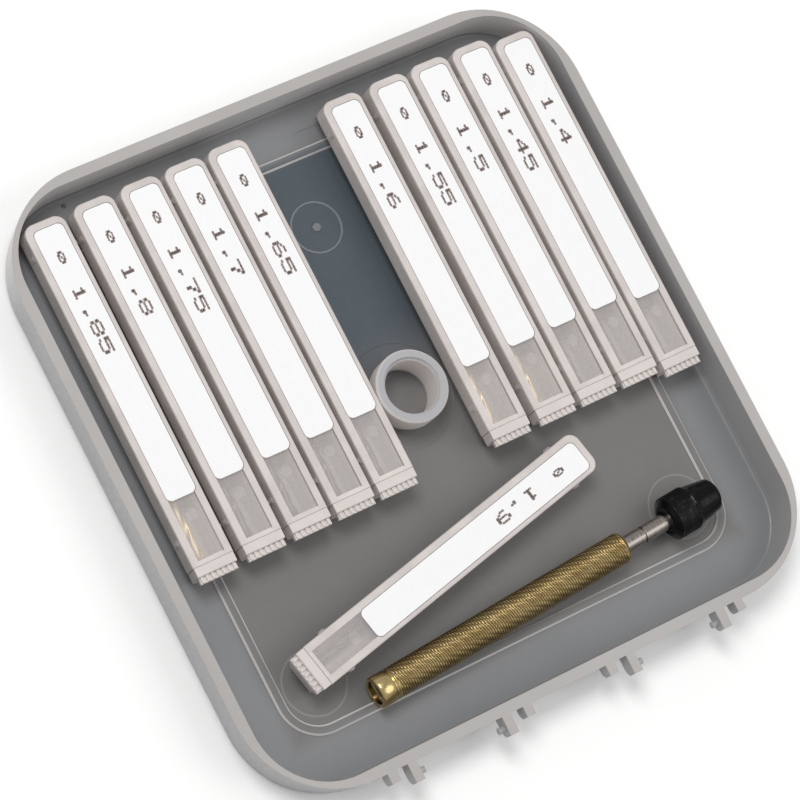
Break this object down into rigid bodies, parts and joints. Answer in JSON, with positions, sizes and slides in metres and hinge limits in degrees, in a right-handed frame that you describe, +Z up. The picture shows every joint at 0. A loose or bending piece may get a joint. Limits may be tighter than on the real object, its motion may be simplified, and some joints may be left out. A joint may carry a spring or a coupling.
{
  "type": "pin vise drill set",
  "caption": "Shallow hinged tray with a hub ring that holds slim labelled drill boxes with pull-off caps and a knurled pin vise with a black chuck.",
  "frame": {"origin": "centre of the tray's flat underside, below the hub ring", "axes": "+Z up, +X along the hinged edge, +Y from the hinged edge to the far edge"},
  "size_m": [0.125, 0.1308, 0.0104],
  "materials": {
    "tray_plastic": "satin translucent",
    "box_plastic": "satin translucent",
    "cap_plastic": "satin translucent",
    "label_paper": "matte paper",
    "drill_steel": "bright ground",
    "handle_brass": "knurled",
    "chuck_black": "black oxide",
    "spindle_steel": "turned"
  },
  "bodies": {
    "tray": {"tray": "tray_plastic"},
    "d185_box": {"d185_sleeve": "box_plastic", "d185_label": "label_paper", "d185_drill": "drill_steel"},
    "d185_lid": {"d185_cap": "cap_plastic"},
    "d180_box": {"d180_sleeve": "box_plastic", "d180_label": "label_paper", "d180_drill": "drill_steel"},
    "d180_lid": {"d180_cap": "cap_plastic"},
    "d175_box": {"d175_sleeve": "box_plastic", "d175_label": "label_paper", "d175_drill": "drill_steel"},
    "d175_lid": {"d175_cap": "cap_plastic"},
    "d170_box": {"d170_sleeve": "box_plastic", "d170_label": "label_paper", "d170_drill": "drill_steel"},
    "d170_lid": {"d170_cap": "cap_plastic"},
    "d165_box": {"d165_sleeve": "box_plastic", "d165_label": "label_paper", "d165_drill": "drill_steel"},
    "d165_lid": {"d165_cap": "cap_plastic"},
    "d160_box": {"d160_sleeve": "box_plastic", "d160_label": "label_paper", "d160_drill": "drill_steel"},
    "d160_lid": {"d160_cap": "cap_plastic"},
    "d155_box": {"d155_sleeve": "box_plastic", "d155_label": "label_paper", "d155_drill": "drill_steel"},
    "d155_lid": {"d155_cap": "cap_plastic"},
    "d150_box": {"d150_sleeve": "box_plastic", "d150_label": "label_paper", "d150_drill": "drill_steel"},
    "d150_lid": {"d150_cap": "cap_plastic"},
    "d145_box": {"d145_sleeve": "box_plastic", "d145_label": "label_paper", "d145_drill": "drill_steel"},
    "d145_lid": {"d145_cap": "cap_plastic"},
    "d140_box": {"d140_sleeve": "box_plastic", "d140_label": "label_paper", "d140_drill": "drill_steel"},
    "d140_lid": {"d140_cap": "cap_plastic"},
    "d190_box": {"d190_sleeve": "box_plastic", "d190_label": "label_paper", "d190_drill": "drill_steel"},
    "d190_lid": {"d190_cap": "cap_plastic"},
    "vise": {"vise_handle": "handle_brass", "vise_tail_bar": "handle_brass", "vise_spindle": "spindle_steel"},
    "chuck": {"vise_chuck_nut": "chuck_black"},
    "collet": {"vise_collet": "spindle_steel"}
  },
  "joints": [
    {"name": "d185_lift", "type": "slide", "parent": "tray", "child": "d185_box", "axis": [0, 0, 1], "range_m": [0, 0.015]},
    {"name": "d185_cap_pull", "type": "slide", "parent": "d185_box", "child": "d185_lid", "axis": [0, -1, 0], "range_m": [0, 0.0026]},
    {"name": "d180_lift", "type": "slide", "parent": "tray", "child": "d180_box", "axis": [0, 0, 1], "range_m": [0, 0.015]},
    {"name": "d180_cap_pull", "type": "slide", "parent": "d180_box", "child": "d180_lid", "axis": [0, -1, 0], "range_m": [0, 0.0026]},
    {"name": "d175_lift", "type": "slide", "parent": "tray", "child": "d175_box", "axis": [0, 0, 1], "range_m": [0, 0.015]},
    {"name": "d175_cap_pull", "type": "slide", "parent": "d175_box", "child": "d175_lid", "axis": [0, -1, 0], "range_m": [0, 0.0026]},
    {"name": "d170_lift", "type": "slide", "parent": "tray", "child": "d170_box", "axis": [0, 0, 1], "range_m": [0, 0.015]},
    {"name": "d170_cap_pull", "type": "slide", "parent": "d170_box", "child": "d170_lid", "axis": [0, -1, 0], "range_m": [0, 0.0026]},
    {"name": "d165_lift", "type": "slide", "parent": "tray", "child": "d165_box", "axis": [0, 0, 1], "range_m": [0, 0.015]},
    {"name": "d165_cap_pull", "type": "slide", "parent": "d165_box", "child": "d165_lid", "axis": [0, -1, 0], "range_m": [0, 0.0026]},
    {"name": "d160_lift", "type": "slide", "parent": "tray", "child": "d160_box", "axis": [0, 0, 1], "range_m": [0, 0.015]},
    {"name": "d160_cap_pull", "type": "slide", "parent": "d160_box", "child": "d160_lid", "axis": [0, -1, 0], "range_m": [0, 0.0026]},
    {"name": "d155_lift", "type": "slide", "parent": "tray", "child": "d155_box", "axis": [0, 0, 1], "range_m": [0, 0.015]},
    {"name": "d155_cap_pull", "type": "slide", "parent": "d155_box", "child": "d155_lid", "axis": [0, -1, 0], "range_m": [0, 0.0026]},
    {"name": "d150_lift", "type": "slide", "parent": "tray", "child": "d150_box", "axis": [0, 0, 1], "range_m": [0, 0.015]},
    {"name": "d150_cap_pull", "type": "slide", "parent": "d150_box", "child": "d150_lid", "axis": [0, -1, 0], "range_m": [0, 0.0026]},
    {"name": "d145_lift", "type": "slide", "parent": "tray", "child": "d145_box", "axis": [0, 0, 1], "range_m": [0, 0.015]},
    {"name": "d145_cap_pull", "type": "slide", "parent": "d145_box", "child": "d145_lid", "axis": [0, -1, 0], "range_m": [0, 0.0026]},
    {"name": "d140_lift", "type": "slide", "parent": "tray", "child": "d140_box", "axis": [0, 0, 1], "range_m": [0, 0.015]},
    {"name": "d140_cap_pull", "type": "slide", "parent": "d140_box", "child": "d140_lid", "axis": [0, -1, 0], "range_m": [0, 0.0026]},
    {"name": "d190_lift", "type": "slide", "parent": "tray", "child": "d190_box", "axis": [0, 0, 1], "range_m": [0, 0.015]},
    {"name": "d190_cap_pull", "type": "slide", "parent": "d190_box", "child": "d190_lid", "axis": [-0.9763, -0.2164, 0], "range_m": [0, 0.0026]},
    {"name": "vise_lift", "type": "slide", "parent": "tray", "child": "vise", "axis": [0, 0, 1], "range_m": [0, 0.015]},
    {"name": "chuck_turn", "type": "hinge", "parent": "vise", "child": "chuck", "pos_m": [0.04108, -0.0433, 0.00586], "axis": [0.997, 0.076, 0.0139], "range_deg": [0, 720]},
    {"name": "collet_slide", "type": "slide", "parent": "vise", "child": "collet", "axis": [0.997, 0.076, 0.0139], "range_m": [0, 0.001]}
  ],
  "couplings": [
    {"joint": "collet_slide", "follows": "chuck_turn", "m_per_rad": 0.000079498}
  ]
}
